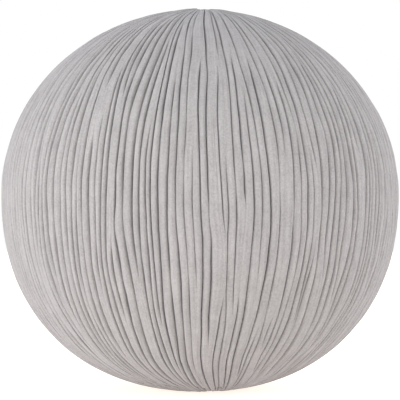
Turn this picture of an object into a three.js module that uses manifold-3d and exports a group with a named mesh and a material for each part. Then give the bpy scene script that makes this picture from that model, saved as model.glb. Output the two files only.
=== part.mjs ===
// Gathered velvet ball pouf, 450 mm across.
//
// Three velvet cover panels are gathered onto a drawcord at each pole. Inside them are a calico liner of
// six gores, polyester wadding in two halves and a foam core in two halves. A covered button sits in the
// well at each pole, and a loop of twine through the core ties the two buttons together.
//
// Units are millimetres, +Z is up. The origin is on the floor, under the centre of the ball.

import * as THREE from 'three';
import { mergeVertices } from 'three/addons/utils/BufferGeometryUtils.js';
import Module from 'manifold-3d';

const wasm = await Module();
wasm.setup();

// ---------------------------------------------------------------- driving dimensions

const BALL_D = 450;         // widest diameter
const UPPER_H = 210;        // widest level to the top
const LOWER_H = 221;        // widest level to the floor
const UPPER_EXP = 2.0;      // 2 is an ellipse
const LOWER_EXP = 2.2;      // above 2 is fuller: the lower half sags outwards
const REST_D = 64;          // the flat that the ball settles on

const COVER_T = 10;         // depth of the gathered velvet
const LINER_T = 1.2;
const WADDING_T = 26;
const GAP = 0.3;            // between pieces that touch

const LINER_GORES = 6;
const SEAM_ANGLE = -25;     // degrees, the first seam; the front panel is about centred on -Y

const BUTTON_D = 19;
const BUTTON_H = 5.5;
const BUTTON_SUNK = 4;      // crown of the button below the lip of the well
const BUTTON_WALL = 1.2;
const BUTTON_BACK_T = 1.2;
const LOOP_WIRE_D = 1.4;
const LOOP_W = 7;           // centre to centre of the loop's legs
const LOOP_LEG = 2.2;       // straight part of each leg

const WELL_CLEAR = 1;       // around the button
const LIP_R = 3;            // rounding of the well's lip
const CORD_D = 3;
const CORD_IN = 1.5;        // from the well's edge out to the drawcord
const KNOT_D = 6.5;
const TAIL_L = 11;          // each loose end past the knot

const WASHER_D = 34;
const WASHER_T = 2;
const WASHER_HOLE_D = 7;
const TWINE_D = 1.6;
const TWINE_KNOT_D = 4;
const BORE_D = 10;          // way for the twine through liner, wadding and core
const PULL_RUN = 26;        // how far past the washer the layers take to come back out

const AROUND = 36;          // facets round the ball, shared by every layer so that they nest
const ALONG = 7;            // steps from a pole to the widest level

// ---------------------------------------------------------------- sizes that follow

const BALL_R = BALL_D / 2;
const HEIGHT = UPPER_H + LOWER_H;
const WELL_R = BUTTON_D / 2 + WELL_CLEAR;
const LINER_IN = COVER_T + GAP;
const WADDING_IN = LINER_IN + LINER_T + GAP;
const CORE_IN = WADDING_IN + WADDING_T + GAP;
const CORD_RING_R = WELL_R + CORD_IN + CORD_D / 2;

// ---------------------------------------------------------------- materials

function material(name, color, roughness, metalness = 0) {
  return new THREE.MeshStandardMaterial({ name, color, roughness, metalness });
}

const velvet = material('velvet', 0xbdb8b9, 0.9);
const calico = material('calico', 0xe3dccb, 0.9);
const wadding = material('wadding', 0xf2f1ee, 0.95);
const foam = material('foam', 0xe9dfb4, 0.9);
const cotton = material('cotton_cord', 0xd8d2c6, 0.85);
const felt = material('felt', 0x8c8883, 0.95);
const steel = material('steel', 0xa9abad, 0.35, 1);

// ---------------------------------------------------------------- helpers

// a closed three.js geometry as a solid for joins and cuts
function solidOf(geometry) {
  const bare = geometry.clone();
  bare.deleteAttribute('normal');
  bare.deleteAttribute('uv');
  const merged = mergeVertices(bare);
  const faces = [];
  for (let i = 0; i < merged.index.count; i += 3) {
    const [a, b, c] = [0, 1, 2].map((k) => merged.index.getX(i + k));
    if (a !== b && b !== c && c !== a) faces.push(a, b, c);
  }
  return new wasm.Manifold(new wasm.Mesh({
    numProp: 3,
    vertProperties: new Float32Array(merged.attributes.position.array),
    triVerts: new Uint32Array(faces),
  }));
}

function geometryOf(solid) {
  const mesh = solid.getMesh();
  const geometry = new THREE.BufferGeometry();
  geometry.setAttribute('position', new THREE.BufferAttribute(new Float32Array(mesh.vertProperties), 3));
  geometry.setIndex(new THREE.BufferAttribute(new Uint32Array(mesh.triVerts), 1));
  geometry.computeVertexNormals();
  return geometry;
}

// a closed profile of [radius, height] points turned about Z; an end on the axis is left open
function turned(points, around = AROUND) {
  const outline = points.map(([r, z]) => new THREE.Vector2(r, z));
  if (THREE.ShapeUtils.area(outline) < 0) outline.reverse();
  if (outline[0].x > 0) outline.push(outline[0].clone());
  return new THREE.LatheGeometry(outline, around).rotateX(Math.PI / 2);
}

// a round tube along a curve
function tube(curve, diameter, steps, sides = 12) {
  const section = new THREE.Shape();
  for (let i = 0; i < sides; i++) {
    const a = (2 * Math.PI * i) / sides;
    const [x, y] = [(diameter / 2) * Math.cos(a), (diameter / 2) * Math.sin(a)];
    if (i) section.lineTo(x, y); else section.moveTo(x, y);
  }
  section.closePath();
  return new THREE.ExtrudeGeometry(section, { steps, bevelEnabled: false, extrudePath: curve });
}

function named(name, geometry, mat) {
  const mesh = new THREE.Mesh(geometry, mat);
  mesh.name = name;
  return mesh;
}

const smooth = (x) => {
  const t = THREE.MathUtils.clamp(x, 0, 1);
  return t * t * (3 - 2 * t);
};

// ---------------------------------------------------------------- the ball's own shape

// lower half-height before the floor flattens it
const LOWER_FULL = LOWER_H / (1 - (REST_D / BALL_D) ** LOWER_EXP) ** (1 / LOWER_EXP);

// height of the surface at radius r, for a layer lying inset below the outside
function surfaceAt(r, inset, top) {
  const exp = top ? UPPER_EXP : LOWER_EXP;
  const rise = (1 - Math.min(r / (BALL_R - inset), 1) ** exp) ** (1 / exp);
  if (top) return LOWER_H + (UPPER_H - inset) * rise;
  return LOWER_H - Math.min((LOWER_FULL - inset) * rise, LOWER_H - inset);
}

// depths below a pole
const BACK_DEPTH = BUTTON_SUNK + BUTTON_H;                    // underside of the button's back
const LOOP_DEPTH = BACK_DEPTH + GAP + LOOP_LEG + LOOP_W / 2;  // centreline of the wire loop's bend
const CORD_DEPTH = HEIGHT - surfaceAt(CORD_RING_R + CORD_D / 2, COVER_T, true) + GAP + CORD_D / 2;
const KNOT_DEPTH = CORD_DEPTH + (KNOT_D - CORD_D) / 2;
const WASHER_DEPTH = Math.max(LOOP_DEPTH + LOOP_WIRE_D / 2, KNOT_DEPTH + KNOT_D / 2) + GAP;

// the buttons pull the layers below the washer in, over a flat that fades out
const PULL = WASHER_DEPTH + WASHER_T + GAP - LINER_IN;
const PULL_FLAT_R = WASHER_D / 2 + 2 * GAP;

// points of a layer's surface from radius nearPole out to the widest level, spaced as on a circle; every
// layer has its points at the same places, so that two layers a gap apart stay apart
function halfProfile(inset, nearPole, top, pull = 0) {
  const marks = [nearPole, ...[0, 1 / 3, 2 / 3, 1].map((k) => PULL_FLAT_R + k * PULL_RUN)];
  const from = Math.max(...marks) + 4;
  for (let i = 1; i <= ALONG; i++) {
    const r = (BALL_R - inset) * Math.sin((Math.PI / 2) * (i / ALONG));
    if (r > from) marks.push(r);
  }
  if (!top && inset === 0) marks.push(REST_D / 2);
  return marks.sort((a, b) => a - b).map((r) => {
    const drop = pull * (1 - smooth((r - PULL_FLAT_R) / PULL_RUN));
    return [r, surfaceAt(r, inset, top) + (top ? -drop : drop)];
  });
}

const past = (radius) => ([r]) => r > radius;

// a shell between two insets, from pole to pole, round the bore
function shellProfile(outerInset, innerInset) {
  const side = (inset) => [
    ...halfProfile(inset, BORE_D / 2, true, PULL),
    ...halfProfile(inset, BORE_D / 2, false, PULL).reverse().slice(1),
  ];
  return [...side(outerInset), ...side(innerInset).reverse()];
}

// the upper or lower half of a shell, or of a solid where innerInset is null, parted at the widest level
function halfShellProfile(outerInset, innerInset, top) {
  const joint = LOWER_H + (top ? GAP / 2 : -GAP / 2);
  const side = (inset) => halfProfile(inset, BORE_D / 2, top, PULL)
    .map(([r, z], i, all) => [r, i === all.length - 1 ? joint : z]);
  const inner = innerInset === null ? [[BORE_D / 2, joint]] : side(innerInset).reverse();
  return [...side(outerInset), ...inner];
}

// the sector of a ring between two angles, its sides set back by half a gap
function sectorOf(ring, startDeg, sweepDeg) {
  const [a0, a1] = [startDeg, startDeg + sweepDeg].map(THREE.MathUtils.degToRad);
  const mid = (a0 + a1) / 2;
  const back = GAP / 2 / Math.sin((a1 - a0) / 2);
  const apex = [back * Math.cos(mid), back * Math.sin(mid)];
  const wedge = new THREE.Shape();
  wedge.moveTo(...apex);
  for (const a of [a0, mid, a1]) {
    wedge.lineTo(apex[0] + BALL_D * Math.cos(a), apex[1] + BALL_D * Math.sin(a));
  }
  wedge.closePath();
  const block = new THREE.ExtrudeGeometry(wedge, { depth: 2 * HEIGHT, bevelEnabled: false });
  block.translate(0, 0, -HEIGHT / 2);
  return geometryOf(ring.intersect(solidOf(block)));
}

// a ring's sectors of equal sweep, one named mesh each
function sectors(ring, names, mat) {
  const sweep = 360 / names.length;
  return names.map((name, i) => named(name, sectorOf(ring, SEAM_ANGLE + i * sweep, sweep), mat));
}

// ---------------------------------------------------------------- cover

function coverPanels() {
  // the velvet turns over a rounded lip into the well at each pole
  const lip = (top) => [90, 60, 30, 0].map((deg) => {
    const a = THREE.MathUtils.degToRad(deg);
    const [r, depth] = [WELL_R + LIP_R * (1 - Math.sin(a)), LIP_R * (1 - Math.cos(a))];
    return [r, top ? surfaceAt(r, 0, true) - depth : depth];
  });
  const outside = (top) => [
    ...lip(top).reverse(),
    ...halfProfile(0, WELL_R, top).filter(past(WELL_R + LIP_R + 1)),
  ];
  const ring = solidOf(turned([
    ...outside(true), ...outside(false).reverse().slice(1),
    ...halfProfile(COVER_T, WELL_R, false), ...halfProfile(COVER_T, WELL_R, true).reverse().slice(1),
  ]));
  return sectors(ring, ['cover_panel_back_right', 'cover_panel_back_left', 'cover_panel_front'], velvet);
}

// ---------------------------------------------------------------- liner, wadding and core

function linerGores() {
  const ring = solidOf(turned(shellProfile(LINER_IN, LINER_IN + LINER_T)));
  const names = Array.from({ length: LINER_GORES }, (_, i) => `liner_gore_${i + 1}`);
  return sectors(ring, names, calico);
}

function filling() {
  const half = (name, outer, inner, top, mat) =>
    named(name, turned(halfShellProfile(outer, inner, top)), mat);
  return [
    half('wadding_upper', WADDING_IN, WADDING_IN + WADDING_T, true, wadding),
    half('wadding_lower', WADDING_IN, WADDING_IN + WADDING_T, false, wadding),
    half('foam_core_upper', CORE_IN, null, true, foam),
    half('foam_core_lower', CORE_IN, null, false, foam),
  ];
}

// ---------------------------------------------------------------- button, drawcord and washer at a pole
// Built with the pole at z = 0 and the ball below it, then set in place at the top or the bottom.

function buttonCap() {
  const R = BUTTON_D / 2;
  const skirt = BUTTON_BACK_T + GAP;   // straight side that holds the back
  const dome = (radius, rise) => [0, 22.5, 45, 67.5, 90].map((deg) => {
    const a = THREE.MathUtils.degToRad(deg);
    return [radius * Math.sin(a), -BACK_DEPTH + skirt + rise * Math.cos(a)];
  });
  const rise = BUTTON_H - skirt;
  return turned([
    ...dome(R, rise), [R, -BACK_DEPTH], [R - BUTTON_WALL, -BACK_DEPTH],
    ...dome(R - BUTTON_WALL, rise - BUTTON_WALL).reverse(),
  ], 24);
}

function buttonBack() {
  const R = BUTTON_D / 2 - BUTTON_WALL - GAP;
  return new THREE.CylinderGeometry(R, R, BUTTON_BACK_T, 24).rotateX(Math.PI / 2)
    .translate(0, 0, -BACK_DEPTH + BUTTON_BACK_T / 2);
}

// two legs down from the button's back, joined by a half-round bend
class LoopCurve extends THREE.Curve {
  getPoint(t, target = new THREE.Vector3()) {
    const [start, bend, arc] = [-BACK_DEPTH - GAP, LOOP_W / 2, (Math.PI * LOOP_W) / 2];
    const s = t * (2 * LOOP_LEG + arc);
    if (s < LOOP_LEG) return target.set(0, -bend, start - s);
    if (s > LOOP_LEG + arc) return target.set(0, bend, start - 2 * LOOP_LEG - arc + s);
    const a = (s - LOOP_LEG) / bend;
    return target.set(0, -bend * Math.cos(a), start - LOOP_LEG - bend * Math.sin(a));
  }
}

// a ring of cord under the lip of the well, closed by a knot with two loose ends
function drawcord() {
  const section = Array.from({ length: 8 }, (_, i) => {
    const a = (2 * Math.PI * i) / 8;
    return [CORD_RING_R + (CORD_D / 2) * Math.cos(a), -CORD_DEPTH + (CORD_D / 2) * Math.sin(a)];
  });
  const knotAt = new THREE.Vector3(0, CORD_RING_R + KNOT_D / 4, -KNOT_DEPTH);
  const knot = new THREE.SphereGeometry(KNOT_D / 2, 10, 8).scale(1, 0.8, 1).translate(...knotAt);
  let solid = solidOf(turned(section, 28)).add(solidOf(knot));
  for (const side of [-1, 1]) {
    const along = (x, y) => knotAt.clone().add(new THREE.Vector3(side * x * TAIL_L, y * TAIL_L, 0));
    const tail = new THREE.CatmullRomCurve3([along(0, 0), along(0.5, 0.15), along(1, 0.35)]);
    solid = solid.add(solidOf(tube(tail, 0.85 * CORD_D, 4, 8)));
  }
  return geometryOf(solid);
}

function washer() {
  const [low, high] = [-WASHER_DEPTH - WASHER_T, -WASHER_DEPTH];
  return turned([
    [WASHER_HOLE_D / 2, low], [WASHER_D / 2, low], [WASHER_D / 2, high], [WASHER_HOLE_D / 2, high],
  ], 24);
}

function poleSet(where) {
  const set = new THREE.Group();
  set.add(
    named(`${where}_button_cap`, buttonCap(), velvet),
    named(`${where}_button_back`, buttonBack(), steel),
    named(`${where}_button_loop`, tube(new LoopCurve(), LOOP_WIRE_D, 18, 8), steel),
    named(`${where}_drawcord`, drawcord(), cotton),
    named(`${where}_washer`, washer(), felt),
  );
  if (where === 'top') set.position.z = HEIGHT;
  else set.rotation.x = Math.PI;
  return set;
}

// ---------------------------------------------------------------- twine between the two buttons

// a single strand through the core, tied in an eye round the bend of the wire loop at each end
function twine() {
  const eyeR = LOOP_WIRE_D / 2 + TWINE_D / 2 + GAP;
  const knotDepth = LOOP_DEPTH + eyeR + 0.3 * TWINE_KNOT_D;
  const ends = [[LOOP_DEPTH, knotDepth], [HEIGHT - LOOP_DEPTH, HEIGHT - knotDepth]];
  const strand = new THREE.CylinderGeometry(TWINE_D / 2, TWINE_D / 2, HEIGHT - 2 * knotDepth, 10)
    .rotateX(Math.PI / 2).translate(0, 0, HEIGHT / 2);
  let solid = solidOf(strand);
  for (const [eyeAt, knotAt] of ends) {
    const eye = new THREE.TorusGeometry(eyeR, TWINE_D / 2, 8, 16).rotateX(Math.PI / 2).translate(0, 0, eyeAt);
    const knot = new THREE.SphereGeometry(TWINE_KNOT_D / 2, 10, 8).scale(1, 1, 0.7).translate(0, 0, knotAt);
    solid = solid.add(solidOf(eye)).add(solidOf(knot));
  }
  return named('button_twine', geometryOf(solid), cotton);
}

// ---------------------------------------------------------------- assembly

const pouf = new THREE.Group();
pouf.name = 'velvet_ball_pouf';
pouf.add(
  ...coverPanels(), ...linerGores(), ...filling(), poleSet('top'), poleSet('bottom'), twine());

export default pouf;
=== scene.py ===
"""A gathered velvet ball pouf: three pleated panels drawn in to a covered button at each pole."""
import math

import bpy
import bmesh
import numpy as np
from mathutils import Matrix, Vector, noise


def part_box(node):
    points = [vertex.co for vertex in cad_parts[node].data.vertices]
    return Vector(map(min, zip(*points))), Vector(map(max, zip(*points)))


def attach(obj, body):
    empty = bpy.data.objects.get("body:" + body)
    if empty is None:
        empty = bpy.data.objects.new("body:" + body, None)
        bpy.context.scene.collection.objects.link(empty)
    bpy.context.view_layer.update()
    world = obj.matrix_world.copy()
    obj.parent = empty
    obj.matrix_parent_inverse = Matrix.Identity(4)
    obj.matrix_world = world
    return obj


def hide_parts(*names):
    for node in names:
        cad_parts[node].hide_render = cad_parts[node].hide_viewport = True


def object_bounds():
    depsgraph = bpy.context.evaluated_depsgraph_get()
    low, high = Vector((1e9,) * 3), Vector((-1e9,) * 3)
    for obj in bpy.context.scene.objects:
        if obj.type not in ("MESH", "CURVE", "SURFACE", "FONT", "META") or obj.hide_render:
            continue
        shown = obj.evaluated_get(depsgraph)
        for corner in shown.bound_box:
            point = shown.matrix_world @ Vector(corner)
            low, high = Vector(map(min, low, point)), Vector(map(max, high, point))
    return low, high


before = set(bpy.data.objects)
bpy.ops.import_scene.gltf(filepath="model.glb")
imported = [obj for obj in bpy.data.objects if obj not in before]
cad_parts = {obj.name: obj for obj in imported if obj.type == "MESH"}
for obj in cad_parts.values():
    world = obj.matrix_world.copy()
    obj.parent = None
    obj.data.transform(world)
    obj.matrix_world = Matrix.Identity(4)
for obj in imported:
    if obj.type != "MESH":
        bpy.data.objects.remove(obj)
CAD_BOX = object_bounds()
BODY = "root"
MM = 0.001

# ---------------------------------------------------------------- sizes, in metres

BOX_LOW, BOX_HIGH = (Vector(v) for v in CAD_BOX)
BALL_R = (BOX_HIGH.x - BOX_LOW.x) / 2
WELL_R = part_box("top_button_cap")[1][0] + 1.0 * MM     # the well is this much wider than its button
LIP_R = 3.0 * MM
WELL_DEEP = 9.0 * MM            # how far down the well the velvet shows
LOWER_H = 221.0 * MM            # widest level to the floor
TOP_WELL_R = WELL_R + LIP_R     # where the outside ends and the top well's lip begins
UPPER_H = (BOX_HIGH.z - LOWER_H) / math.sqrt(1 - (TOP_WELL_R / BALL_R) ** 2)   # widest level to the top
LOWER_FULLNESS = 2.2            # 2 is an ellipse; the lower half sags outwards
REST_R = 32.0 * MM              # the flat that the ball settles on
# the lower half would reach this far down, if the floor didn't flatten it
LOWER_FULL = LOWER_H / (1 - (REST_R / BALL_R) ** LOWER_FULLNESS) ** (1 / LOWER_FULLNESS)

PANELS = ("cover_panel_back_right", "cover_panel_back_left", "cover_panel_front")
FIRST_SEAM = math.radians(-25)
PLEATS = 180                    # folds round the widest level, a whole number in each panel
PLEAT_DEEP = 5.2 * MM
CLOSED_SHARE = 0.10             # pleats that close up for a stretch
PINCHED_SHARE = 0.10            # and that are pinched right out where there is no room
FADED_SHARE = 0.24              # grooves that fade out for a stretch
CREASED_SHARE = 0.75            # pleats with a cross crease near the floor
CLOTH_T = 1.6 * MM              # velvet with its pile
TOP_KNOT = 303                  # where the drawcord's knot pulls the cloth in, in degrees from pleat 0
BOTTOM_KNOT = 115
BOTTOM_LEAN = 14 * MM           # how far the gathers lean sideways as they reach the well
TOP_LEAN = 4 * MM
SEED = 16


# ---------------------------------------------------------------- small helpers

def srgb(code):
    """An sRGB hex colour as a linear RGBA."""
    parts = [int(code[i:i + 2], 16) / 255 for i in (1, 3, 5)]
    return tuple(c / 12.92 if c <= 0.04045 else ((c + 0.055) / 1.055) ** 2.4 for c in parts) + (1.0,)


def smooth(x):
    t = np.clip(x, 0.0, 1.0)
    return t * t * (3 - 2 * t)


MATH = "ShaderNodeMath"


def add(tree, kind, inputs=None, **settings):
    """Adds a node with its settings; an input is a value, an output, or a node for its first output."""
    made = tree.nodes.new(kind)
    for key, value in settings.items():
        setattr(made, key, value)
    for key, value in (inputs or {}).items():
        socket = made.inputs[key]
        if isinstance(value, bpy.types.Node):
            value = value.outputs[0]
        if isinstance(value, bpy.types.NodeSocket):
            tree.links.new(value, socket)
        else:
            socket.default_value = value
    return made


def new_material(name):
    mat = bpy.data.materials.new(name)
    mat.use_nodes = True
    mat.node_tree.nodes.clear()
    return mat, mat.node_tree


def mesh_object(name, verts, faces, mat, smooth_faces=True):
    mesh = bpy.data.meshes.new(name)
    mesh.from_pydata([tuple(v) for v in verts], [], faces)
    mesh.materials.append(mat)
    mesh.polygons.foreach_set("use_smooth", [smooth_faces] * len(mesh.polygons))
    mesh.update()
    obj = bpy.data.objects.new(name, mesh)
    bpy.context.collection.objects.link(obj)
    return obj


def write_uv(piece, u, v):
    """Cloth coordinates in metres, given for each vertex."""
    layer = piece.data.uv_layers.new(name="cloth")
    loops = np.empty(len(piece.data.loops), np.int32)
    piece.data.loops.foreach_get("vertex_index", loops)
    layer.uv.foreach_set("vector", np.column_stack([u[loops], v[loops]]).ravel().astype(np.float32))


def mesh_points(mesh):
    flat = np.empty(3 * len(mesh.vertices), np.float32)
    mesh.vertices.foreach_get("co", flat)
    return flat.reshape(-1, 3).astype(float)


def cloth_faces(face_steps, back_steps, rows):
    """Faces of a closed piece of cloth: its face, its back, and the edges between them.

    Its points go column by column, the face's first. The back may have fewer columns.
    """
    first_back = (face_steps + 1) * rows
    ratio = face_steps // back_steps

    def face(c, k):
        return c * rows + k

    def back(c, k):
        return first_back + c * rows + k

    faces = []
    for c in range(face_steps):
        faces += [(face(c, k), face(c + 1, k), face(c + 1, k + 1), face(c, k + 1)) for k in range(rows - 1)]
    for c in range(back_steps):
        faces += [(back(c, k), back(c, k + 1), back(c + 1, k + 1), back(c + 1, k)) for k in range(rows - 1)]
    end, back_end = face_steps, back_steps
    for k in range(rows - 1):
        faces.append((face(0, k + 1), back(0, k + 1), back(0, k), face(0, k)))
        faces.append((face(end, k), back(back_end, k), back(back_end, k + 1), face(end, k + 1)))
    for c in range(back_steps):
        for k, turn in ((0, 1), (rows - 1, -1)):
            ring = [face(c * ratio + i, k) for i in range(ratio, -1, -1)] + [back(c, k), back(c + 1, k)]
            faces.append(tuple(ring[::turn]))
    return faces


def stand_for(piece, node):
    """The piece stands for a CAD node and rides with it."""
    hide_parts(node)
    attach(piece, BODY)
    return piece


# ---------------------------------------------------------------- materials

def velvet():
    """Cotton velvet, woven and cut to a short pile: dull face on, bright where seen along the pile.

    Tufts are far finer than would show, so they are drawn about 2 mm across. Crushed patches are 14 mm,
    and streaks of brushed pile 4 mm wide and 110 mm long.
    """
    mat, tree = new_material("cotton_velvet")
    spot = add(tree, "ShaderNodeTexCoord").outputs
    fuzz = add(tree, "ShaderNodeTexNoise", {"Vector": spot["Object"], "Scale": 520.0, "Detail": 3.0,
                                            "Roughness": 0.65})
    crush = add(tree, "ShaderNodeTexNoise", {"Vector": spot["Object"], "Scale": 70.0, "Detail": 4.0,
                                             "Roughness": 0.6})
    lengthwise = add(tree, "ShaderNodeMapping", {"Vector": spot["UV"], "Scale": (260.0, 9.0, 1.0)})
    streak = add(tree, "ShaderNodeTexNoise", {"Vector": lengthwise, "Scale": 1.0, "Detail": 3.0,
                                              "Roughness": 0.6})
    mixed = add(tree, MATH, {0: crush, 1: 0.5, 2: fuzz}, operation="MULTIPLY_ADD")
    mixed = add(tree, MATH, {0: mixed, 1: streak}, operation="ADD")
    spread = add(tree, "ShaderNodeMapRange", {"Value": mixed, "From Min": 0.9, "From Max": 1.6})
    tone = add(tree, "ShaderNodeMix", {"Factor": spread, 6: srgb("#868483"), 7: srgb("#A5A3A2")},
               data_type="RGBA")
    rough = add(tree, "ShaderNodeMapRange", {"Value": crush, "To Min": 0.78, "To Max": 0.95})
    pile = add(tree, "ShaderNodeBump", {"Strength": 0.8, "Distance": 1.2 * MM, "Height": fuzz})
    pile = add(tree, "ShaderNodeBump", {"Strength": 0.3, "Distance": 2.0 * MM, "Height": crush,
                                        "Normal": pile})
    cloth = add(tree, "ShaderNodeBsdfPrincipled", {
        "Base Color": tone.outputs[2], "Roughness": rough, "Specular IOR Level": 0.15,
        "Sheen Weight": 0.22, "Sheen Roughness": 0.5, "Sheen Tint": srgb("#E8EAFC"), "Normal": pile})
    add(tree, "ShaderNodeOutputMaterial", {"Surface": cloth})
    return mat


def finish_cloth(tree, fibres, dark, light, rough, bump, sheen):
    """The end that the plain cloths share: tone and relief from one pattern, over a matt shader."""
    tone = add(tree, "ShaderNodeMix", {"Factor": fibres, 6: srgb(dark), 7: srgb(light)}, data_type="RGBA")
    rough = add(tree, "ShaderNodeMapRange", {"Value": fibres, "To Min": rough[0], "To Max": rough[1]})
    relief = add(tree, "ShaderNodeBump", {"Strength": 0.7, "Distance": bump, "Height": fibres})
    cloth = add(tree, "ShaderNodeBsdfPrincipled", {
        "Base Color": tone.outputs[2], "Roughness": rough, "Specular IOR Level": 0.2,
        "Sheen Weight": sheen, "Sheen Roughness": 0.6, "Normal": relief})
    add(tree, "ShaderNodeOutputMaterial", {"Surface": cloth})


def calico():
    """Unbleached cotton calico, plain-woven: warm off-white, with slubs 17 mm long across the cloth.

    Threads are drawn 1 mm apart, about twice the real spacing, so that they show.
    """
    mat, tree = new_material("unbleached_calico")
    spot = add(tree, "ShaderNodeTexCoord").outputs["UV"]
    threads = []
    for way, scale in (("X", (1.0, 0.0, 0.0)), ("Y", (0.0, 1.0, 0.0))):
        spread = add(tree, "ShaderNodeMapping", {"Vector": spot, "Scale": scale})
        threads.append(add(tree, "ShaderNodeTexWave", {"Vector": spread, "Scale": 320.0, "Distortion": 1.2,
                                                       "Detail": 1.0}, bands_direction=way))
    weave = add(tree, MATH, {0: threads[0].outputs["Fac"], 1: threads[1].outputs["Fac"]},
                operation="MULTIPLY")
    drawn = add(tree, "ShaderNodeMapping", {"Vector": spot, "Scale": (60.0, 900.0, 1.0)})
    slub = add(tree, "ShaderNodeTexNoise", {"Vector": drawn, "Scale": 1.0, "Detail": 2.0})
    fibres = add(tree, MATH, {0: weave, 1: 0.5, 2: slub}, operation="MULTIPLY_ADD")
    finish_cloth(tree, fibres, "#CFC5B0", "#F0E9DA", rough=(0.82, 0.95), bump=0.3 * MM, sheen=0.1)
    return mat


def polyester_wadding():
    """Bonded polyester wadding, blown and lightly heat-set: white fibres with hazy hollows.

    Strands are drawn 1 mm by 6 mm, since single fibres wouldn't show, and hollows are 17 mm across.
    """
    mat, tree = new_material("polyester_wadding")
    spot = add(tree, "ShaderNodeTexCoord").outputs["Object"]
    drawn = add(tree, "ShaderNodeMapping", {"Vector": spot, "Scale": (900.0, 160.0, 160.0)})
    strands = add(tree, "ShaderNodeTexNoise", {"Vector": drawn, "Scale": 1.0, "Detail": 4.0,
                                               "Distortion": 3.0})
    loft = add(tree, "ShaderNodeTexNoise", {"Vector": spot, "Scale": 60.0, "Detail": 3.0})
    fibres = add(tree, MATH, {0: strands, 1: loft}, operation="MULTIPLY")
    fibres = add(tree, "ShaderNodeMapRange", {"Value": fibres, "From Min": 0.12, "From Max": 0.4})
    finish_cloth(tree, fibres, "#DAD9D6", "#F8F7F4", rough=(0.9, 1.0), bump=1.0 * MM, sheen=0.3)
    return mat


def upholstery_foam():
    """Open-cell polyurethane foam, cut by a hot wire: cream, pitted all over by cells.

    The cells are drawn 1.4 mm across, somewhat coarser than real ones, so that they show.
    """
    mat, tree = new_material("open_cell_foam")
    spot = add(tree, "ShaderNodeTexCoord").outputs["Object"]
    cells = add(tree, "ShaderNodeTexVoronoi", {"Vector": spot, "Scale": 700.0, "Randomness": 0.9})
    pits = add(tree, "ShaderNodeMapRange", {"Value": cells.outputs["Distance"], "From Min": 0.15,
                                            "From Max": 0.6})
    finish_cloth(tree, pits, "#CDBF8C", "#EEE5BE", rough=(0.85, 0.95), bump=0.6 * MM, sheen=0.0)
    return mat


def cotton_cord():
    """Three-ply cotton cord, twisted: unbleached and soft, with fibres drawn 0.7 mm by 2 mm to show."""
    mat, tree = new_material("twisted_cotton")
    spot = add(tree, "ShaderNodeTexCoord").outputs["Object"]
    drawn = add(tree, "ShaderNodeMapping", {"Vector": spot, "Scale": (1400.0, 1400.0, 500.0)})
    fibre = add(tree, "ShaderNodeTexNoise", {"Vector": drawn, "Scale": 1.0, "Detail": 3.0})
    finish_cloth(tree, fibre, "#BDB4A2", "#E6DFD0", rough=(0.8, 0.92), bump=0.2 * MM, sheen=0.15)
    return mat


def pressed_felt():
    """Grey wool-mix felt, pressed and die-cut: matt, mottled by lighter and darker fibres at 0.9 mm."""
    mat, tree = new_material("pressed_felt")
    spot = add(tree, "ShaderNodeTexCoord").outputs["Object"]
    matted = add(tree, "ShaderNodeTexNoise", {"Vector": spot, "Scale": 1100.0, "Detail": 4.0,
                                              "Distortion": 2.0})
    finish_cloth(tree, matted, "#5F5B57", "#A39E98", rough=(0.9, 1.0), bump=0.4 * MM, sheen=0.2)
    return mat


def plated_steel():
    """Zinc-plated steel, stamped or drawn as wire: cool grey, with fine drawing lines and dull patches.

    The lines are 0.25 mm by 3 mm and the patches 3 mm across.
    """
    mat, tree = new_material("zinc_plated_steel")
    spot = add(tree, "ShaderNodeTexCoord").outputs["Object"]
    drawn = add(tree, "ShaderNodeMapping", {"Vector": spot, "Scale": (4000.0, 4000.0, 300.0)})
    lines = add(tree, "ShaderNodeTexNoise", {"Vector": drawn, "Scale": 1.0, "Detail": 2.0})
    patches = add(tree, "ShaderNodeTexNoise", {"Vector": spot, "Scale": 350.0, "Detail": 2.0})
    tone = add(tree, "ShaderNodeMix", {"Factor": patches, 6: srgb("#9FA2A4"), 7: srgb("#C3C6C8")},
               data_type="RGBA")
    rough = add(tree, "ShaderNodeMapRange", {"Value": lines, "To Min": 0.25, "To Max": 0.5})
    relief = add(tree, "ShaderNodeBump", {"Strength": 0.2, "Distance": 0.05 * MM, "Height": lines})
    steel = add(tree, "ShaderNodeBsdfPrincipled", {
        "Base Color": tone.outputs[2], "Metallic": 1.0, "Roughness": rough, "Normal": relief})
    add(tree, "ShaderNodeOutputMaterial", {"Surface": steel})
    return mat


VELVET = velvet()
CALICO = calico()
WADDING = polyester_wadding()
FOAM = upholstery_foam()
COTTON = cotton_cord()
FELT = pressed_felt()
STEEL = plated_steel()


# ---------------------------------------------------------------- the cover's outline

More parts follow.
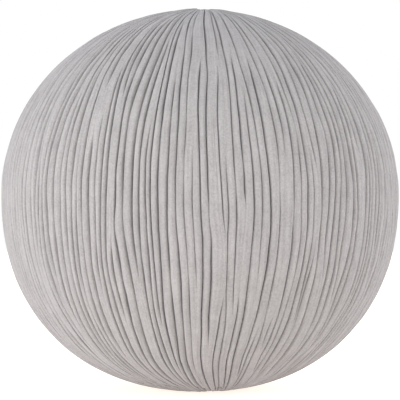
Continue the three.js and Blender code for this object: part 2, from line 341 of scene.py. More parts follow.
def outline(step_far=6.2 * MM, step_near=1.0 * MM, widening=0.05, rounding=0.9 * MM):
    """Rows of the cover from the bottom well to the top well: radius, height, outward normal, length.

    Rows are step_near apart at the lips and get further apart by widening, up to step_far. The corners
    are rounded over about the length rounding.
    """
    fine, lip_points, reach = 4000, 60, 60

    def side(top):
        share = np.sin(np.linspace(0, math.pi / 2, fine))
        r = BALL_R * share
        if top:
            z = LOWER_H + UPPER_H * np.sqrt(1 - share ** 2)
        else:
            fall = LOWER_FULL * (1 - share ** LOWER_FULLNESS) ** (1 / LOWER_FULLNESS)
            z = LOWER_H - np.minimum(fall, LOWER_H)
        keep = r > WELL_R + LIP_R
        pole = z[keep][0]
        turn = np.linspace(math.pi / 2, 0, lip_points)[:-1]
        lip_r = WELL_R + LIP_R * (1 - np.sin(turn))
        lip_z = LIP_R * (1 - np.cos(turn))
        wall_z = np.linspace(WELL_DEEP, LIP_R, lip_points)[:-1]
        inward = -1 if top else 1
        well = np.column_stack([np.full(len(wall_z), WELL_R), pole + inward * wall_z])
        lip = np.column_stack([lip_r, pole + inward * lip_z])
        return np.vstack([well, lip, np.column_stack([r[keep], z[keep]])])

    line = np.vstack([side(False), side(True)[::-1][1:]])
    gaps = np.hypot(*np.diff(line, axis=0).T)
    s = np.concatenate([[0], np.cumsum(gaps)])
    even = np.linspace(0, s[-1], 7000)      # about a tenth of a millimetre apart
    line = np.column_stack([np.interp(even, s, line[:, 0]), np.interp(even, s, line[:, 1])])
    soft = np.exp(-0.5 * (np.arange(-reach, reach + 1) * (even[1] / rounding)) ** 2)
    soft /= soft.sum()
    before, after = 2 * line[0] - line[reach:0:-1], 2 * line[-1] - line[-2:-reach - 2:-1]
    padded = np.vstack([before, line, after])
    line = np.column_stack([np.convolve(padded[:, k], soft, "valid") for k in (0, 1)])
    # rows lie closer together near the lips
    near = np.minimum(even, even[-1] - even) - WELL_DEEP
    step = np.clip(step_near + widening * np.abs(near), step_near, step_far)
    count = np.concatenate([[0], np.cumsum(np.diff(even) / step[1:])])
    rows = int(round(count[-1])) + 1
    at = np.interp(np.linspace(0, count[-1], rows), count, even)
    r, z = (np.interp(at, even, line[:, k]) for k in (0, 1))
    along = np.gradient(line, even, axis=0)
    tr, tz = (np.interp(at, even, along[:, k]) for k in (0, 1))
    size = np.hypot(tr, tz)
    return r, z, tz / size, -tr / size, at


ROW_R, ROW_Z, ROW_OUT_R, ROW_OUT_Z, ROW_S = outline()
ROWS = len(ROW_R)


# ---------------------------------------------------------------- where the folds run

def waves(rng, rows, count, shortest, longest, terms=5):
    """Smooth random curves along the cloth, one for each fold, with a spread of about 1."""
    total = np.zeros((len(rows), count))
    for _ in range(terms):
        length = rng.uniform(shortest, longest, count)
        total += np.sin(2 * math.pi * (rows[:, None] / length + rng.random(count)))
    return total * math.sqrt(2 / terms)


def ring_blur(values, width):
    """Blurs round the ball, from fold to fold."""
    n = values.shape[1]
    step = np.minimum(np.arange(n), n - np.arange(n))
    kernel = np.exp(-0.5 * (step / width) ** 2)
    kernel /= kernel.sum()
    return np.real(np.fft.ifft(np.fft.fft(values, axis=1) * np.fft.fft(kernel)[None], axis=1))


def bump(rows, centre, half, soft):
    """1 within half of centre, falling to 0 over soft."""
    return smooth((half + soft - np.abs(rows[:, None] - centre[None])) / soft)


def folds():
    """Angle and depth of every groove, and crest drop of every pleat, row by row."""
    rng = np.random.default_rng(SEED)
    n, s = PLEATS, ROW_S
    length = s[-1]
    share = ROW_R / BALL_R
    pitch = 2 * math.pi * ROW_R / n

    # towards the poles there is room for fewer pleats, so some run out between their neighbours
    room = 0.34 + 0.41 * share + 0.23 * share ** 6
    room *= 0.40 + 0.60 * smooth((share - 0.04) / 0.18)
    upper = np.arange(len(s)) > int(np.argmax(ROW_R))
    # in an order that spreads them evenly: each number's binary digits, read backwards
    halvings = [int(f"{k:08b}"[::-1], 2) / 256 for k in range(256)]
    order = np.array([halvings[int(k * 256 / n)] for k in range(n)])
    alive, wide = np.ones((len(s), n)), np.ones((len(s), n))
    for half, turned in ((upper, 0), (~upper, 37)):
        rank = np.argsort(np.argsort(np.roll(order, turned))) / n + 0.03 * rng.standard_normal(n)
        room_here = np.where(half, room, room.max())
        alive *= smooth((room_here[:, None] - rank) / 0.15 + 0.6)
        wide *= smooth((room_here[:, None] - rank) / 0.34 + 0.5)
    # some close up for a stretch of their length
    closed = rng.random(n) < CLOSED_SHARE
    centre = rng.uniform(0.12, 0.88, n) * length
    narrowed = closed * bump(s, centre, rng.uniform(5, 60, n) * MM, rng.uniform(45, 90, n) * MM)
    alive *= 1 - narrowed
    wide *= 1 - narrowed

    base = np.exp(0.15 * rng.standard_normal(n))
    # most fade into the pleat beside them and hardly move it, and a few are pinched out
    kept = np.where(rng.random(n) < PINCHED_SHARE, 0.06, rng.uniform(0.15, 0.45, n))
    width = base * np.exp(0.10 * waves(rng, s, n, 150 * MM, 500 * MM)) * (kept + (1 - kept) * wide)
    width = width / ring_blur(width / base.mean(), 5.0)
    width *= 2 * math.pi / width.sum(axis=1, keepdims=True)
    left = np.cumsum(width, axis=1) - width
    left -= left.mean(axis=1, keepdims=True)
    sway = ring_blur(waves(rng, s, n, 300 * MM, 700 * MM), 6.0) * 4 * MM
    wobble = ring_blur(waves(rng, s, n, 26 * MM, 80 * MM), 0.6) * 0.12 * MM
    wobble *= 1 + 7 * smooth((60 * MM - s) / (45 * MM))[:, None]       # crumpled where it rests
    # the gathers lean to one side as they reach the wells
    lean = BOTTOM_LEAN * smooth((170 * MM - s) / (140 * MM))
    lean += TOP_LEAN * smooth((s - length + 120 * MM) / (90 * MM))
    shift = sway * share[:, None] ** 1.5 + wobble * share[:, None] + lean[:, None]
    angle = left + shift / np.maximum(ROW_R, 30 * MM)[:, None]

    across = width * ROW_R[:, None]                   # each pleat's width in metres
    deep = np.exp(0.30 * rng.standard_normal(n)) * (1 + 0.22 * waves(rng, s, n, 50 * MM, 200 * MM))
    fades = rng.random(n) < FADED_SHARE
    centre = rng.uniform(0.0, 1.0, n) * length
    deep *= alive ** 1.5
    deep *= 1 - 0.88 * fades * bump(s, centre, rng.uniform(10, 80, n) * MM, rng.uniform(25, 60, n) * MM)
    # a groove is no deeper than the pleats beside it are wide
    apart = ring_blur(across, 3.0) / ring_blur(alive, 3.0)
    beside = np.maximum(np.maximum(across, np.roll(across, 1, axis=1)), 0.7 * apart)
    deep = np.clip(deep, 0.02, 1.5) * PLEAT_DEEP
    groove = np.minimum(deep, 0.72 * beside + 0.4 * MM)
    groove *= np.clip(apart / (4.0 * MM), 0.35, 1.0)
    # wide pleats stand proud and narrow ones sink between them
    full = smooth(across / (0.55 * pitch[:, None]) * 0.9)
    sink = np.minimum(groove, np.roll(groove, -1, axis=1))
    crest = (1 - full) * sink * 0.92 + full * 0.32 * MM * (1 + 0.8 * waves(rng, s, n, 40 * MM, 200 * MM))
    crest = np.clip(crest, 0.0, None)
    groove = np.maximum(groove, np.maximum(crest, np.roll(crest, 1, axis=1)))
    # the gathers puff up unevenly round each well
    turn = np.arange(n) * 360 / n
    for end, knot in ((WELL_DEEP + 9 * MM, BOTTOM_KNOT), (length - WELL_DEEP - 9 * MM, TOP_KNOT)):
        puff = np.clip(ring_blur(rng.standard_normal((1, n)), 2.0) * 1.6, -0.4, 1.0)
        off = (turn - knot + 180) % 360 - 180
        puff += 1.5 * np.exp(-((off - 30) / 17) ** 2) - 2.2 * np.exp(-(off / 7) ** 2)
        crest = crest - full * puff * MM * bump(s, np.full(n, end), 5 * MM, 16 * MM)
    # small cross creases where the cloth turns under on to the floor
    spot = WELL_DEEP + rng.uniform(46, 84, n) * MM
    dent = np.abs(rng.standard_normal(n)) * 2.0 * MM * (rng.random(n) < CREASED_SHARE)
    dented = crest + dent * bump(s, spot, 1.5 * MM, 6 * MM)
    crest = np.minimum(dented, np.maximum(groove, crest))
    # and the floor flattens what would puff below it
    room_below = np.where(ROW_OUT_Z < -0.05, ROW_Z / np.maximum(-ROW_OUT_Z, 0.05), 1.0)
    crest = np.maximum(crest, -room_below[:, None])
    return angle, groove, crest


ANGLE, GROOVE, CREST = folds()
# pleat 0 lies opposite the first seam, so the panels start half way round from it
SEAM_PLEATS = [PLEATS // 2 + k * PLEATS // len(PANELS) for k in range(len(PANELS) + 1)]


# ---------------------------------------------------------------- the pleated cloth, as Geometry Nodes

def pleated_cloth_tree():
    """Folds a grid of cloth between groove lines.

    The input is a cloud of points, groove by groove and row by row, which carry the groove's angle and
    depth, the crest of the pleat to its right, and the row's place and outward direction.
    """
    tree = bpy.data.node_groups.new("pleated_cloth", "GeometryNodeTree")
    face = tree.interface
    face.new_socket("Geometry", in_out="INPUT", socket_type="NodeSocketGeometry")
    for name, kind, value in (("Pleats", "Int", 56), ("Rows", "Int", 100), ("Samples", "Int", 8),
                              ("Roundness", "Float", 2.6), ("Flank", "Float", 0.5), ("Drop", "Float", 0.0),
                              ("Crinkle", "Float", 0.0), ("Crinkle Scale", "Float", 60.0)):
        face.new_socket(name, in_out="INPUT", socket_type=f"NodeSocket{kind}").default_value = value
    face.new_socket("Material", in_out="INPUT", socket_type="NodeSocketMaterial")
    face.new_socket("Geometry", in_out="OUTPUT", socket_type="NodeSocketGeometry")
    given = add(tree, "NodeGroupInput").outputs

    # which column, row and pleat a grid point belongs to
    steps = add(tree, MATH, {0: given["Pleats"], 1: given["Samples"]}, operation="MULTIPLY")
    columns = add(tree, MATH, {0: steps, 1: 1.0}, operation="ADD")
    grid = add(tree, "GeometryNodeMeshGrid", {"Vertices X": columns, "Vertices Y": given["Rows"]})
    index = add(tree, "GeometryNodeInputIndex")
    column = add(tree, MATH, {0: index, 1: 0.5}, operation="ADD")
    column = add(tree, MATH, {0: column, 1: given["Rows"]}, operation="DIVIDE")
    column = add(tree, MATH, {0: column}, operation="FLOOR")
    earlier = add(tree, MATH, {0: column, 1: given["Rows"]}, operation="MULTIPLY")
    row = add(tree, MATH, {0: index, 1: earlier}, operation="SUBTRACT")
    pleat = add(tree, MATH, {0: column, 1: 0.5}, operation="ADD")
    pleat = add(tree, MATH, {0: pleat, 1: given["Samples"]}, operation="DIVIDE")
    pleat = add(tree, MATH, {0: pleat}, operation="FLOOR")
    final = add(tree, MATH, {0: given["Pleats"], 1: 1.0}, operation="SUBTRACT")
    pleat = add(tree, MATH, {0: pleat, 1: final}, operation="MINIMUM")
    earlier = add(tree, MATH, {0: pleat, 1: given["Samples"]}, operation="MULTIPLY")
    step = add(tree, MATH, {0: column, 1: earlier}, operation="SUBTRACT")
    left = add(tree, MATH, {0: pleat, 1: given["Rows"]}, operation="MULTIPLY")
    left = add(tree, MATH, {0: left, 1: row}, operation="ADD")
    right = add(tree, MATH, {0: left, 1: given["Rows"]}, operation="ADD")

    # the layout's values at the grooves beside the point
    beside = {}
    for name, kind, places in (("angle", "FLOAT", (left, right)), ("groove", "FLOAT", (left, right)),
                               ("crest", "FLOAT", (left,)), ("place", "FLOAT_VECTOR", (left,)),
                               ("outward", "FLOAT_VECTOR", (left,))):
        value = add(tree, "GeometryNodeInputNamedAttribute", {"Name": name}, data_type=kind)
        beside[name] = [add(tree, "GeometryNodeSampleIndex", {
            "Geometry": given["Geometry"], "Value": value, "Index": at}, data_type=kind) for at in places]
    crest, place, outward = beside["crest"][0], beside["place"][0], beside["outward"][0]

    # across a pleat, side runs from -1 at the left groove to 1 at the right one
    turn = add(tree, MATH, {0: step, 1: given["Samples"]}, operation="DIVIDE")
    turn = add(tree, MATH, {0: turn, 1: 0.5}, operation="SUBTRACT")
    turn = add(tree, MATH, {0: turn, 1: math.pi}, operation="MULTIPLY")
    side = add(tree, MATH, {0: turn}, operation="SINE")
    across = add(tree, MATH, {0: side, 1: 1.0}, operation="ADD")
    across = add(tree, MATH, {0: across, 1: 0.5}, operation="MULTIPLY")
    edge = add(tree, MATH, {0: side}, operation="ABSOLUTE")
    on_right = add(tree, MATH, {0: side, 1: 0.0}, operation="GREATER_THAN")
    between = {}
    for name, share in (("angle", across), ("groove", on_right)):
        a, b = beside[name]
        gap = add(tree, MATH, {0: b, 1: a}, operation="SUBTRACT")
        part = add(tree, MATH, {0: gap, 1: share}, operation="MULTIPLY")
        between[name] = add(tree, MATH, {0: a, 1: part}, operation="ADD")

    # a rounded pleat: flat on its crest and steep into its grooves
    inside = add(tree, MATH, {0: edge, 1: given["Roundness"]}, operation="POWER")
    inside = add(tree, MATH, {0: 1.0, 1: inside}, operation="SUBTRACT")
    inside = add(tree, MATH, {0: inside, 1: 0.0}, operation="MAXIMUM")
    fall = add(tree, MATH, {0: inside, 1: given["Flank"]}, operation="POWER")
    fall = add(tree, MATH, {0: 1.0, 1: fall}, operation="SUBTRACT")
    depth = add(tree, MATH, {0: between["groove"], 1: crest}, operation="SUBTRACT")
    depth = add(tree, MATH, {0: depth, 1: fall}, operation="MULTIPLY")
    depth = add(tree, MATH, {0: crest, 1: depth}, operation="ADD")
    depth = add(tree, MATH, {0: depth, 1: given["Drop"]}, operation="ADD")

    # a crinkle over it, drawn out lengthwise
    place = add(tree, "ShaderNodeSeparateXYZ", {0: place}).outputs
    outward = add(tree, "ShaderNodeSeparateXYZ", {0: outward}).outputs
    cosine = add(tree, MATH, {0: between["angle"]}, operation="COSINE")
    sine = add(tree, MATH, {0: between["angle"]}, operation="SINE")
    upward = add(tree, MATH, {0: place[1], 1: 6.0}, operation="MULTIPLY")
    around = add(tree, "ShaderNodeCombineXYZ", {0: cosine, 1: sine, 2: upward})
    crinkle = add(tree, "ShaderNodeTexNoise", {"Vector": around, "Scale": given["Crinkle Scale"],
                                               "Detail": 2.0})
    crinkle = add(tree, MATH, {0: crinkle, 1: 0.5}, operation="SUBTRACT")
    crinkle = add(tree, MATH, {0: crinkle, 1: given["Crinkle"]}, operation="MULTIPLY")
    crinkle = add(tree, MATH, {0: crinkle}, operation="ABSOLUTE")
    depth = add(tree, MATH, {0: depth, 1: crinkle}, operation="ADD")

    # and the point goes inwards from its row by that depth
    inwards = [add(tree, MATH, {0: outward[k], 1: depth}, operation="MULTIPLY") for k in (0, 1)]
    radius, height = (add(tree, MATH, {0: place[k], 1: inwards[k]}, operation="SUBTRACT") for k in (0, 1))
    x = add(tree, MATH, {0: radius, 1: cosine}, operation="MULTIPLY")
    y = add(tree, MATH, {0: radius, 1: sine}, operation="MULTIPLY")
    spot = add(tree, "ShaderNodeCombineXYZ", {0: x, 1: y, 2: height})
    cloth = add(tree, "GeometryNodeSetPosition", {"Geometry": grid, "Position": spot})
    cloth = add(tree, "GeometryNodeSetShadeSmooth", {0: cloth})
    cloth = add(tree, "GeometryNodeRealizeInstances", {0: cloth})
    cloth = add(tree, "GeometryNodeSetMaterial", {0: cloth, "Material": given["Material"]})
    add(tree, "NodeGroupOutput", {0: cloth})
    return tree


PLEATED = pleated_cloth_tree()


def with_tree(obj, tree, **inputs):
    """Runs a Geometry Nodes tree on obj and gives back the plain mesh that it makes."""
    modifier = obj.modifiers.new(tree.name, "NODES")
    modifier.node_group = tree
    for item in tree.interface.items_tree:
        key = item.name.replace(" ", "_")
        if item.in_out == "INPUT" and key in inputs:
            modifier[item.identifier] = inputs[key]
    seen = obj.evaluated_get(bpy.context.evaluated_depsgraph_get())
    mesh = bpy.data.meshes.new_from_object(seen)
    obj.modifiers.remove(modifier)
    return mesh


def groove_points(first, last):
    """The points that the tree reads, for the grooves from first to last."""
    grooves = np.arange(first, last + 1)
    lap = (grooves // PLEATS) * 2 * math.pi
    g = grooves % PLEATS
    rows = np.tile(np.arange(ROWS), len(grooves))
    angle = (ANGLE[:, g] + lap[None]).T.ravel() + FIRST_SEAM
    mesh = bpy.data.meshes.new("groove_points")
    mesh.vertices.add(len(angle))
    fields = {
        "angle": ("FLOAT", angle), "groove": ("FLOAT", GROOVE[:, g].T.ravel()),
        "crest": ("FLOAT", CREST[:, g].T.ravel()),
        "place": ("FLOAT_VECTOR", np.column_stack([ROW_R[rows], ROW_Z[rows], 0 * rows]).ravel()),
        "outward": ("FLOAT_VECTOR", np.column_stack([ROW_OUT_R[rows], ROW_OUT_Z[rows], 0 * rows]).ravel()),
    }
    for name, (kind, values) in fields.items():
        mesh.attributes.new(name, kind, "POINT").data.foreach_set(
            "value" if kind == "FLOAT" else "vector", values.astype(np.float32))
    return bpy.data.objects.new("groove_points", mesh)


FACE_SAMPLES = 8      # grid steps across a pleat on the face
BACK_SAMPLES = 2      # and on the back, which the face hides


def velvet_panel(name, first, last):
    """One panel: the pleated face, a back under it, and the edges between them."""
    points = groove_points(first, last)
    bpy.context.collection.objects.link(points)
    common = dict(Pleats=last - first, Rows=ROWS, Material=VELVET)
    face = with_tree(points, PLEATED, Samples=FACE_SAMPLES, Roundness=3.2, Flank=0.53, Drop=0.0,
                     Crinkle=0.25 * MM, Crinkle_Scale=14.0, **common)
    back = with_tree(points, PLEATED, Samples=BACK_SAMPLES, Roundness=2.0, Flank=0.5, Drop=CLOTH_T, **common)
    out, under = mesh_points(face), mesh_points(back)
    bpy.data.objects.remove(points)
    steps = [(last - first) * samples for samples in (FACE_SAMPLES, BACK_SAMPLES)]
    panel = mesh_object(name, np.vstack([out, under]), cloth_faces(*steps, ROWS), VELVET)

    # cloth coordinates in metres: across the unfolded cloth, and along it
    widest = int(np.argmax(ROW_R))
    cols = out.reshape(-1, ROWS, 3)[:, widest]
    u_face = np.concatenate([[0], np.cumsum(np.linalg.norm(np.diff(cols, axis=0), axis=1))])
    u_back = u_face[::FACE_SAMPLES // BACK_SAMPLES]
    u = np.concatenate([np.repeat(u_face, ROWS), np.repeat(u_back, ROWS)])
    v = np.tile(ROW_S, len(u_face) + len(u_back))
    write_uv(panel, u, v)
    return panel


for name, first, last in zip(PANELS, SEAM_PLEATS, SEAM_PLEATS[1:]):
    piece = stand_for(velvet_panel(name + "_velvet", first, last), name)


# ---------------------------------------------------------------- liner, wadding and core

LINER_IN = 10.3 * MM            # the liner lies this far below the ball's outside
LINER_T = 0.5 * MM
GORES = 6
PULL_FLAT_R = 17.6 * MM         # flat under the washer
PULL_RUN = 26.0 * MM            # and from there this far back out to the ball's shape
BORE_R = 5.0 * MM


def lined(inset, pull, spacing):
    """Radius, height and length along a layer that lies inset below the outside, bottom to top."""
    # even steps of radius near the pole, then even steps of angle, which start just inside the last one
    near_pole = np.linspace(BORE_R, 50 * MM, 200)
    turn_from = 0.2306
    onwards = np.linspace(turn_from, math.pi / 2, 600)
    r = np.concatenate([near_pole, (BALL_R - inset) * np.sin(onwards)])
    share = np.clip(r / (BALL_R - inset), 0, 1)
    drop = pull * (1 - smooth((r - PULL_FLAT_R) / PULL_RUN))
    rise = (1 - share ** LOWER_FULLNESS) ** (1 / LOWER_FULLNESS)
    lower = LOWER_H - np.minimum((LOWER_FULL - inset) * rise, LOWER_H - inset) + drop
    upper = LOWER_H + (UPPER_H - inset) * np.sqrt(1 - share ** 2) - drop
    line = np.vstack([np.column_stack([r, lower]), np.column_stack([r, upper])[::-1][1:]])
    s = np.concatenate([[0], np.cumsum(np.hypot(*np.diff(line, axis=0).T))])
    even = np.linspace(0, s[-1], int(s[-1] / spacing) + 1)
    return np.interp(even, s, line[:, 0]), np.interp(even, s, line[:, 1]), even


WASHER_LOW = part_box("top_washer")[0].z
WASHER_GAP = 0.3 * MM
PULL = BOX_HIGH.z - WASHER_LOW + WASHER_GAP - LINER_IN
LINER_ROWS = 2.2 * MM           # how far apart
LINE_R, LINE_Z, LINE_S = lined(LINER_IN, PULL, LINER_ROWS)
LINE_OUT = np.gradient(np.column_stack([LINE_R, LINE_Z]), LINE_S, axis=0)
LINE_OUT = np.column_stack([LINE_OUT[:, 1], -LINE_OUT[:, 0]]) / np.linalg.norm(LINE_OUT, axis=1)[:, None]


def liner_gore(name, index):
    """A gore of calico pulled taut, with its allowances turned in and puckers along its seams."""
    rng = np.random.default_rng(100 + index)
    columns, rows = 29, len(LINE_R)
    sweep = 2 * math.pi / GORES
    start = FIRST_SEAM + index * sweep
    half_gap = 0.15 * MM / LINE_R
    share = (0.5 - 0.5 * np.cos(np.linspace(0, math.pi, columns)))[:, None]     # finer near the seams
    turn = start + half_gap + (sweep - 2 * half_gap) * share
    seam = np.minimum(turn - start, start + sweep - turn) * LINE_R[None]        # how far from the seam
    stitch, reach = 7 * MM, 7 * MM
    uneven = np.interp(LINE_S, np.linspace(0, 0.8, 40), np.cumsum(rng.standard_normal(40)))
    phase = 2 * math.pi * (LINE_S / stitch + 0.25 * uneven)
    pucker = 0.30 * MM * np.cos(phase)[None] * np.exp(-(seam / reach) ** 2)
    dip = 0.7 * MM * np.exp(-(seam / (2 * MM)) ** 2)
    allowance = 0.5 * MM * (1 - smooth((seam - 8 * MM) / (2 * MM)))
    top_depth = dip + pucker + 0.3 * MM         # 0.3 mm keeps the puckers below the layer above
    verts = []
    for depth in (top_depth, top_depth + LINER_T + allowance):
        r = LINE_R[None] - LINE_OUT[None, :, 0] * depth
        z = LINE_Z[None] - LINE_OUT[None, :, 1] * depth
        verts.append(np.stack([r * np.cos(turn), r * np.sin(turn), z], axis=2).reshape(-1, 3))
    gore = mesh_object(name, np.vstack(verts), cloth_faces(columns - 1, columns - 1, rows), CALICO)
    u = np.tile(((turn - start) * (BALL_R - LINER_IN)).ravel(), 2)
    v = np.tile(np.tile(LINE_S, columns), 2)
    write_uv(gore, u, v)
    return gore


# a gore is a sixth of the way round at the widest level, and a sixth of the liner's surface
for k in range(GORES):
    piece = stand_for(liner_gore(f"liner_gore_{k + 1}_calico", k), f"liner_gore_{k + 1}")


CLEAR = 0.4 * MM                # between the filling and what it lies against


def soft_block(node, name, mat, voxel, lump, lump_size, soften):
    """A filling piece with the shape of its CAD solid: its arrises softened and its skin uneven."""
    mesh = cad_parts[node].data.copy()
    edit = bmesh.new()
    edit.from_mesh(mesh)
    bmesh.ops.remove_doubles(edit, verts=edit.verts, dist=0.01 * MM)
    edit.to_mesh(mesh)
    edit.free()
    block = bpy.data.objects.new(name, mesh)
    bpy.context.collection.objects.link(block)
    fine = block.modifiers.new("fine", "REMESH")
    fine.mode, fine.voxel_size = "VOXEL", voxel
    rounded = block.modifiers.new("rounded", "SMOOTH")
    rounded.iterations, rounded.factor = soften, 0.5
    made = bpy.data.meshes.new_from_object(block.evaluated_get(bpy.context.evaluated_depsgraph_get()))
    block.modifiers.clear()
    block.data = made
    normals = np.empty(3 * len(made.vertices), np.float32)
    made.vertex_normals.foreach_get("vector", normals)
    points = mesh_points(made)
    depth = np.array([0.5 + 0.5 * noise.fractal(Vector(p) / lump_size, 0.6, 2.0, 3) for p in points])
    points -= normals.reshape(-1, 3) * (CLEAR + lump * np.clip(depth, 0, 1))[:, None]
    made.vertices.foreach_set("co", points.ravel().astype(np.float32))
    made.materials.clear()
    made.materials.append(mat)
    made.polygons.foreach_set("use_smooth", [True] * len(made.polygons))
    made.update()
    return block


for half in ("upper", "lower"):
    node = f"wadding_{half}"
    layers = soft_block(node, node + "_layers", WADDING, voxel=4.5 * MM, lump=2.4 * MM, lump_size=26 * MM,
                        soften=5)
    piece = stand_for(layers, node)
    node = f"foam_core_{half}"
    block = soft_block(node, node + "_block", FOAM, voxel=4.0 * MM, lump=0.5 * MM, lump_size=9 * MM,
                       soften=2)
    piece = stand_for(block, node)


# ---------------------------------------------------------------- buttons, cords and washers

def lathed(name, profile, columns, mat, waviness):
    """A closed turned piece; waviness(angle, row share) pushes each point in or out a little.

    The profile's ends lie on the axis, or it closes on itself as a ring.
    """
    on_axis = profile[0][0] == 0
    ring = profile[1:-1] if on_axis else profile
    angles = 2 * math.pi * np.arange(columns) / columns
    verts = []
    for k, (r, z) in enumerate(ring):
        dr, dz = waviness(angles, k / len(ring))
        verts += [((r + a) * math.cos(t), (r + a) * math.sin(t), z + b)
                  for t, a, b in zip(angles, dr, dz)]
    rows = len(ring)
    faces = []
    for k in range(rows - 1 if on_axis else rows):
        here, below = k * columns, (k + 1) % rows * columns
        for c in range(columns):
            right = (c + 1) % columns
            faces.append((here + c, below + c, below + right, here + right))
    if on_axis:
        verts += [(0, 0, profile[0][1]), (0, 0, profile[-1][1])]
        first, last = len(verts) - 2, len(verts) - 1
        end = (rows - 1) * columns
        for c in range(columns):
            right = (c + 1) % columns
            faces.append((first, c, right))
            faces.append((last, end + right, end + c))
    piece = mesh_object(name, verts, faces, mat)
    write_uv(piece, np.array([v[0] for v in verts]), np.array([v[1] for v in verts]))
    return piece


def flipped(profile, top):
    """A profile drawn for the top pole, with heights down from it, put at the top or the bottom."""
    if top:
        return [(r, BOX_HIGH.z - d) for r, d in profile]
    return [(r, d) for r, d in reversed(profile)]


def covered_button(name, node, top):
    """A metal shell covered in velvet: a low dome with puckers where the cloth turns under its rim."""
    rng = np.random.default_rng(7 + top)
    box_low, box_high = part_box(node)
    radius = box_high.x - 0.1 * MM
    crown = BOX_HIGH.z - box_high.z if top else box_low.z
    tall = box_high.z - box_low.z
    rim, wall = 1.5 * MM, 1.2 * MM
    rise = tall - rim
    dome = [(radius * math.sin(a), crown + rise * (1 - math.cos(a)))
            for a in np.linspace(0, math.pi / 2, 22)]
    under = [(radius, crown + tall - 0.7 * MM), (radius - 0.15 * MM, crown + tall - 0.2 * MM),
             (radius - 0.6 * wall, crown + tall), (radius - wall, crown + tall - 0.25 * MM)]
    inner = [((radius - wall) * math.sin(a), crown + wall + (rise - wall) * (1 - math.cos(a)))
             for a in np.linspace(math.pi / 2, 0, 12)]
    profile = dome + under + inner
    count = 19
    places = np.sort(rng.uniform(-0.4, 0.4, count) + np.arange(count)) / count * 2 * math.pi
    depths = rng.uniform(0.06, 0.20, count) * MM

    def puckers(angles, share):
        grow = float(smooth((share - 0.16) / 0.34) * (1 - smooth((share - 0.66) / 0.08)))
        apart = np.abs((angles[:, None] - places[None] + math.pi) % (2 * math.pi) - math.pi)
        dent = (np.exp(-(apart / 0.07) ** 2) * depths[None]).sum(axis=1) * grow
        return -dent, (-dent if top else dent) * 0.4

    stand_for(lathed(name, flipped(profile, top), 144, VELVET, puckers), node)


def felt_washer(name, node):
    """Die-cut felt: its faces a little uneven and its edges soft."""
    rng = np.random.default_rng(31)
    box_low, box_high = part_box(node)
    outer, hole, soft = box_high.x - 0.2 * MM, 3.6 * MM, 0.35 * MM
    steps = np.linspace(hole + soft, outer - soft, 12)
    top_z, low_z = box_high.z - 0.1 * MM, box_low.z + 0.1 * MM
    middle = (top_z + low_z) / 2
    arris, drop = 0.1 * MM, 0.2 * MM
    profile = [(r, top_z) for r in steps]
    profile += [(outer - arris, top_z - drop), (outer, middle), (outer - arris, low_z + drop)]
    profile += [(r, low_z) for r in steps[::-1]]
    profile += [(hole + arris, low_z + drop), (hole, middle), (hole + arris, top_z - drop)]
    columns = 96
    uneven = rng.standard_normal((len(profile), columns)) * 0.05 * MM
    rows = iter(uneven)

    def fuzz(angles, share):
        row = next(rows)
        return row, np.roll(row, 5) * 0.8

    return stand_for(lathed(name, profile, columns, FELT, fuzz), node)


def twisted(name, paths, diameter, turn, mat, plies=3, sides=7):
    """Cord of plies laid round each other, one turn in the length turn, along each path of points."""
    verts, faces = [], []
    ply = diameter * 0.29       # a ply's radius, which makes neighbours press into each other
    for path in paths:
        path = np.array(path, float)
        gaps = np.linalg.norm(np.diff(path, axis=0), axis=1)
        s = np.concatenate([[0], np.cumsum(gaps)])
        even = np.linspace(0, s[-1], max(4, int(s[-1] / (turn / 10))))
        path = np.column_stack([np.interp(even, s, path[:, k]) for k in range(3)])
        ahead = np.gradient(path, axis=0)
        ahead /= np.linalg.norm(ahead, axis=1)[:, None]
        side = np.cross(ahead, (0.0, 0.0, 1.0) if abs(ahead[0, 2]) < 0.7 else (0.0, 1.0, 0.0))
        side /= np.maximum(np.linalg.norm(side, axis=1), 1e-9)[:, None]
        up = np.cross(side, ahead)
        for p in range(plies):
            roll = 2 * math.pi * (even / turn + p / plies)
            heart = path + (side * np.cos(roll)[:, None] + up * np.sin(roll)[:, None]) * (diameter / 2 - ply)
            base = len(verts)
            for q in range(sides):
                a = 2 * math.pi * q / sides
                verts += list(map(tuple, heart + (side * math.cos(a) + up * math.sin(a)) * ply))
            n = len(even)
            for q in range(sides):
                here, beside = base + q * n, base + (q + 1) % sides * n
                faces += [(here + k, here + k + 1, beside + k + 1, beside + k) for k in range(n - 1)]
            faces.append(tuple(base + q * n for q in range(sides)))
            faces.append(tuple(base + q * n + n - 1 for q in reversed(range(sides))))
    piece = mesh_object(name, verts, faces, mat)
    edit = bmesh.new()
    edit.from_mesh(piece.data)
    bmesh.ops.recalc_face_normals(edit, faces=edit.faces)
    edit.to_mesh(piece.data)
    edit.free()
    return piece


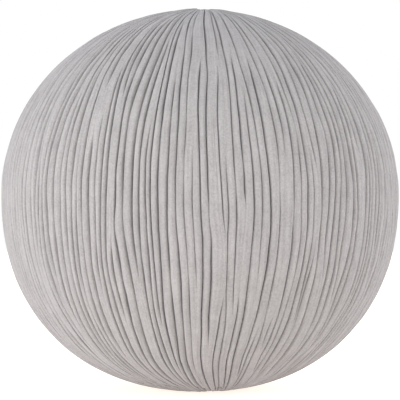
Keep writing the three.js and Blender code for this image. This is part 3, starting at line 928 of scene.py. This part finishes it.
def drawcord(name, node, top):
    """The cord that closes the cover: a ring under the lip, with a knot and two loose ends."""
    box_low, box_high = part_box(node)
    thick, lay = 3.0 * MM, 7 * MM
    knot_half = 0.16            # radians of the ring on each side of the knot's middle
    ring_r = box_high.x - thick / 2
    level = (box_high.z - thick / 2) if top else (box_low.z + thick / 2)
    knot_side = 1 if box_high.y > -box_low.y else -1
    down = -1 if top else 1

    def spot(angle, radius, lift=0.0):
        return (radius * math.cos(angle), radius * math.sin(angle), level + down * lift)

    start = knot_side * math.pi / 2
    loop = [spot(start + knot_half + a, ring_r) for a in np.linspace(0, 2 * math.pi - 2 * knot_half, 90)]
    tails = []
    for way in (-1, 1):
        base = spot(start, ring_r + 0.6 * MM, 1.2 * MM)
        tails.append([(base[0] + way * x * MM, base[1] + knot_side * (0.3 + 0.03 * x * x) * MM,
                       base[2] + down * 0.05 * x * MM) for x in np.linspace(1.5, 10.5, 12)])
    turns = np.linspace(0, 2 * math.pi * 1.6, 40)
    heart = spot(start, ring_r + 0.4 * MM, 0.9 * MM)
    knot = [(heart[0] + (t / turns[-1] - 0.5) * 3.4 * MM, heart[1] + 1.7 * MM * math.cos(t),
             heart[2] + 1.5 * MM * math.sin(t)) for t in turns]
    stand_for(twisted(name, [loop, *tails, knot], thick * 0.9, lay, COTTON), node)


def button_twine():
    """Cotton twine between the two buttons, tied round each button's wire loop."""
    box_low, box_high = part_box("button_twine")
    thick, lay = 1.6 * MM, 5 * MM
    eye_in, eye_r = 2.6 * MM, 1.8 * MM          # the eye that goes through the wire loop
    whip_r, whip_long = 1.1 * MM, 2.2 * MM      # and the turns that hold it
    strand_in = 4.5 * MM
    paths = [[(0, 0, z) for z in np.linspace(box_low.z + strand_in, box_high.z - strand_in, 300)]]
    for top in (True, False):
        down = -1 if top else 1
        eye = (box_high.z - eye_in) if top else (box_low.z + eye_in)
        paths.append([(eye_r * math.sin(a), 0, eye - down * eye_r * math.cos(a))
                      for a in np.linspace(0.1, 2 * math.pi - 0.1, 30)])
        turns = np.linspace(0, 2 * math.pi * 2.5, 50)
        paths.append([(whip_r * math.cos(a), whip_r * math.sin(a),
                       eye + down * (eye_in + a / turns[-1] * whip_long)) for a in turns])
    strand = twisted("button_twine_strand", paths, thick, lay, COTTON, sides=5)
    stand_for(strand, "button_twine")


for end in ("top", "bottom"):
    covered_button(f"{end}_button_velvet", f"{end}_button_cap", end == "top")
    drawcord(f"{end}_drawcord_laid", f"{end}_drawcord", end == "top")
    washer = felt_washer(f"{end}_washer_felt", f"{end}_washer")
    for node in (f"{end}_button_back", f"{end}_button_loop"):
        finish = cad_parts[node].data.materials
        finish.clear()
        finish.append(STEEL)
button_twine()


# ---------------------------------------------------------------- stage, light and camera

def glowing_floor():
    """Matt grey paint that glows a little in warm white, so that the floor looks like pale lit paper."""
    mat, tree = new_material("studio_floor")
    paint = add(tree, "ShaderNodeBsdfPrincipled", {
        "Base Color": srgb("#B8B8B8"), "Roughness": 0.9, "Emission Color": srgb("#FFF2E7"),
        "Emission Strength": 0.88})
    add(tree, "ShaderNodeOutputMaterial", {"Surface": paint})
    return mat


FLOOR_HALF = 6      # metres
corners = [(x * FLOOR_HALF, y * FLOOR_HALF, 0) for x, y in ((-1, -1), (1, -1), (1, 1), (-1, 1))]
floor = mesh_object("floor", corners, [(0, 1, 2, 3)], glowing_floor(), False)

world = bpy.data.worlds.new("studio")
world.use_nodes = True
sky = world.node_tree.nodes["Background"].inputs
sky["Color"].default_value = srgb("#FFFFFF")
sky["Strength"].default_value = 1.0
bpy.context.scene.world = world


def softbox(name, spot, aim, size, power, tint):
    """A rectangular light of a size in metres and a power in watts, turned towards aim."""
    light = bpy.data.lights.new(name, "AREA")
    light.color = srgb(tint)[:3]
    light.shape, light.size, light.size_y, light.energy = "RECTANGLE", size[0], size[1], power
    lamp = bpy.data.objects.new(name, light)
    lamp.location = spot
    lamp.rotation_euler = (Vector(aim) - Vector(spot)).to_track_quat("-Z", "Y").to_euler()
    bpy.context.collection.objects.link(lamp)


MIDDLE = (0, 0, LOWER_H)
softbox("left_softbox", (-1.66, -1.48, 0.22), MIDDLE, size=(1.8, 1.1), power=55, tint="#F8F8FF")
softbox("right_softbox", (1.95, -0.75, 0.35), MIDDLE, size=(1.6, 2.0), power=32, tint="#F4F4FF")

EYE_LEVEL = 215.0 * MM
EYE_AWAY = 2.25                 # from the ball's middle
LENS = 178.1                    # long, so that the ball fills the frame

camera = bpy.data.cameras.new("camera")
camera.sensor_width = 36.0
camera.lens = LENS
camera.clip_start, camera.clip_end = 0.05, 50.0
eye = bpy.data.objects.new("camera", camera)
eye.location = (0, -EYE_AWAY, EYE_LEVEL)
eye.rotation_euler = (math.pi / 2, 0, 0)
bpy.context.collection.objects.link(eye)
bpy.context.scene.camera = eye
bpy.context.scene.view_settings.view_transform = "Standard"
